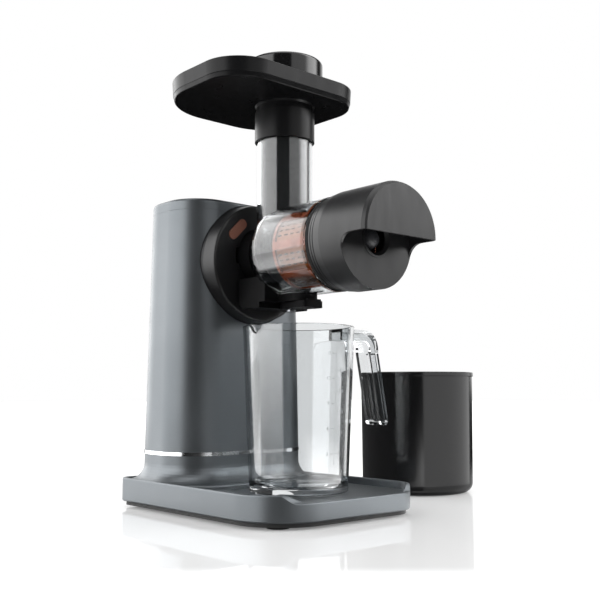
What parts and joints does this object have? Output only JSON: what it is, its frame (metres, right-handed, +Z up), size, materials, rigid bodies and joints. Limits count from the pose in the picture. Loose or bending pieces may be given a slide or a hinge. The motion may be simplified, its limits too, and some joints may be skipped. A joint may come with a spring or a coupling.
{
  "type": "cold_press_juicer",
  "caption": "Cold press juicer with a horizontal screw in a clear chute, hopper tray and pusher, motor column, measuring jug and pulp container.",
  "frame": {"origin": "On the counter, in the middle of the front left foot's underside, which is the mount counter_rest.", "axes": "+Z up; front, where the screw's end cap points, towards -Y; +X to the right seen from the front."},
  "size_m": [0.3326, 0.2473, 0.358],
  "materials": {
    "body_grey": "satin grey paint",
    "black_plastic": "fine satin moulding",
    "gloss_black": "polished moulding",
    "rubber": "matt",
    "steel": "plain",
    "chrome": "bright plated",
    "copper_plastic": "metallic copper colour",
    "light_plastic": "natural acetal",
    "dark_plastic": "plain moulding",
    "circuit_board": "solder mask",
    "bronze": "sintered",
    "copper_metal": "enamelled copper",
    "magnet": "ground ferrite and carbon",
    "clear_plastic": "clear, polished"
  },
  "bodies": {
    "base": {"platform": "body_grey", "base_plate": "black_plastic", "feet": "rubber", "base_screws": "steel", "trim_ring": "chrome", "column_shell": "body_grey", "top_cover": "body_grey", "control_panel": "gloss_black", "collar": "black_plastic", "button_switches": "dark_plastic", "control_board": "circuit_board", "power_board": "circuit_board", "board_parts": "dark_plastic", "cord_gland": "black_plastic", "gear_case": "dark_plastic", "drive_screws": "steel", "output_bearing": "bronze", "ring_gear": "light_plastic", "gearbox_screws": "steel", "motor_plate": "steel", "motor_can": "steel", "motor_magnets": "magnet", "motor_bearings": "bronze", "end_bell": "black_plastic", "brush_holders": "black_plastic", "carbon_brushes": "magnet"},
    "release": {"release_button": "copper_plastic"},
    "power_key": {"power_button": "light_plastic"},
    "start_key": {"start_button": "copper_plastic"},
    "reverse_key": {"reverse_button": "light_plastic"},
    "carrier": {"output_drive": "light_plastic", "planet_pins": "steel"},
    "planet_a": {"planet_gear_a": "light_plastic"},
    "planet_b": {"planet_gear_b": "light_plastic"},
    "planet_c": {"planet_gear_c": "light_plastic"},
    "rotor": {"motor_shaft": "steel", "armature_core": "steel", "armature_windings": "copper_metal", "commutator": "copper_metal", "cooling_fan": "light_plastic"},
    "seal": {"drive_seal": "rubber"},
    "juice_chute": {"chute": "clear_plastic", "chute_sleeve": "black_plastic", "spout_block": "black_plastic", "lever_pin": "steel"},
    "lever": {"drip_lever": "black_plastic"},
    "screw": {"auger": "dark_plastic"},
    "filter": {"filter_basket": "copper_plastic", "filter_screen": "steel"},
    "cap_ring": {"cap_seal": "rubber"},
    "cap": {"end_cap": "black_plastic"},
    "tray": {"hopper_tray": "black_plastic"},
    "pusher": {"pusher_cap": "gloss_black", "pusher_stem": "gloss_black"},
    "jug": {"jug": "clear_plastic"},
    "container": {"pulp_container": "gloss_black"}
  },
  "joints": [
    {"name": "release_press", "type": "slide", "parent": "base", "child": "release", "axis": [0, 1, 0], "range_m": [0, 0.002], "stiffness_N_per_m": 400, "springref_m": -0.001},
    {"name": "power_press", "type": "slide", "parent": "base", "child": "power_key", "axis": [0, 0, -1], "range_m": [0, 0.0012], "stiffness_N_per_m": 400, "springref_m": -0.0005},
    {"name": "start_press", "type": "slide", "parent": "base", "child": "start_key", "axis": [0, 0, -1], "range_m": [0, 0.0012], "stiffness_N_per_m": 400, "springref_m": -0.0005},
    {"name": "reverse_press", "type": "slide", "parent": "base", "child": "reverse_key", "axis": [0, 0, -1], "range_m": [0, 0.0012], "stiffness_N_per_m": 400, "springref_m": -0.0005},
    {"name": "output_spin", "type": "hinge", "parent": "base", "child": "carrier", "pos_m": [0.0515, 0.109, 0.202], "axis": [0, 1, 0], "continuous": true},
    {"name": "planet_a_spin", "type": "hinge", "parent": "carrier", "child": "planet_a", "pos_m": [0.0515, 0.114, 0.184], "axis": [0, 1, 0], "continuous": true},
    {"name": "planet_b_spin", "type": "hinge", "parent": "carrier", "child": "planet_b", "pos_m": [0.03591, 0.114, 0.211], "axis": [0, 1, 0], "continuous": true},
    {"name": "planet_c_spin", "type": "hinge", "parent": "carrier", "child": "planet_c", "pos_m": [0.06709, 0.114, 0.211], "axis": [0, 1, 0], "continuous": true},
    {"name": "rotor_spin", "type": "hinge", "parent": "base", "child": "rotor", "pos_m": [0.0515, 0.144, 0.202], "axis": [0, 1, 0], "continuous": true},
    {"name": "chute_pull", "type": "slide", "parent": "base", "child": "seal", "axis": [0, -1, 0], "range_m": [0, 0.16]},
    {"name": "chute_twist", "type": "hinge", "parent": "seal", "child": "juice_chute", "pos_m": [0.0515, 0.092, 0.202], "axis": [0, 1, 0], "range_deg": [0, 30]},
    {"name": "screw_spin", "type": "hinge", "parent": "seal", "child": "screw", "pos_m": [0.0515, 0.054, 0.202], "axis": [0, 1, 0], "continuous": true},
    {"name": "lever_swing", "type": "hinge", "parent": "juice_chute", "child": "lever", "pos_m": [0.0515, 0.046, 0.16], "axis": [0, 0, 1], "range_deg": [0, 70]},
    {"name": "filter_pull", "type": "slide", "parent": "juice_chute", "child": "filter", "axis": [0, -1, 0], "range_m": [0, 0.09]},
    {"name": "cap_pull", "type": "slide", "parent": "filter", "child": "cap_ring", "axis": [0, -1, 0], "range_m": [0, 0.12]},
    {"name": "cap_twist", "type": "hinge", "parent": "cap_ring", "child": "cap", "pos_m": [0.0515, -0.01, 0.202], "axis": [0, 1, 0], "range_deg": [0, 35]},
    {"name": "tray_lift", "type": "slide", "parent": "juice_chute", "child": "tray", "axis": [0, 0, 1], "range_m": [0, 0.09]},
    {"name": "pusher_lift", "type": "slide", "parent": "tray", "child": "pusher", "axis": [0, 0, 1], "range_m": [0, 0.14]},
    {"name": "jug_pull", "type": "slide", "parent": "base", "child": "jug", "axis": [0, -1, 0], "range_m": [0, 0.25]},
    {"name": "container_lift", "type": "slide", "parent": "base", "child": "container", "axis": [0, 0, 1], "range_m": [0, 0.2]}
  ],
  "couplings": [
    {"joint": "planet_a_spin", "follows": "output_spin", "ratio": -2.5},
    {"joint": "planet_b_spin", "follows": "output_spin", "ratio": -2.5},
    {"joint": "planet_c_spin", "follows": "output_spin", "ratio": -2.5},
    {"joint": "rotor_spin", "follows": "output_spin", "ratio": 6},
    {"joint": "screw_spin", "follows": "output_spin", "ratio": 1}
  ]
}
